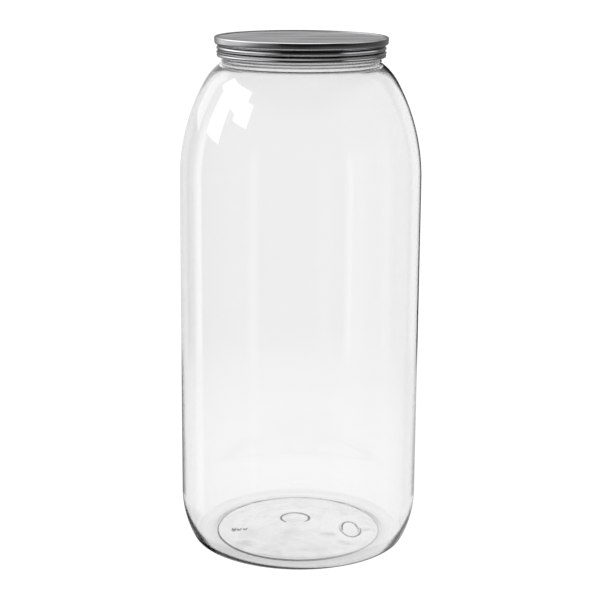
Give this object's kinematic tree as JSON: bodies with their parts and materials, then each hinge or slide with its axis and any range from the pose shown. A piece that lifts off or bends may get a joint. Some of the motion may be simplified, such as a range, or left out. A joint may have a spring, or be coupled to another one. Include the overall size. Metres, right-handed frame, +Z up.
{
  "type": "wide-mouth plastic bottle with screw cap",
  "caption": "Clear wide-mouth plastic bottle with a rounded shoulder, a push-up base and a flanged metal screw cap, for storing dry or liquid food.",
  "frame": {"origin": "centre of the base, on the surface that the bottle stands on", "axes": "+Z up along the bottle's axis, from the base to the cap; X and Y are level, and the bottle is round about Z"},
  "size_m": [0.125, 0.125, 0.267],
  "materials": {
    "clear_plastic": "clear blow-moulded PET, glossy",
    "cap_metal": "satin brushed top panel, bright rolled rim and skirt"
  },
  "bodies": {
    "root": {"bottle": "clear_plastic", "cap": "cap_metal"}
  },
  "joints": []
}
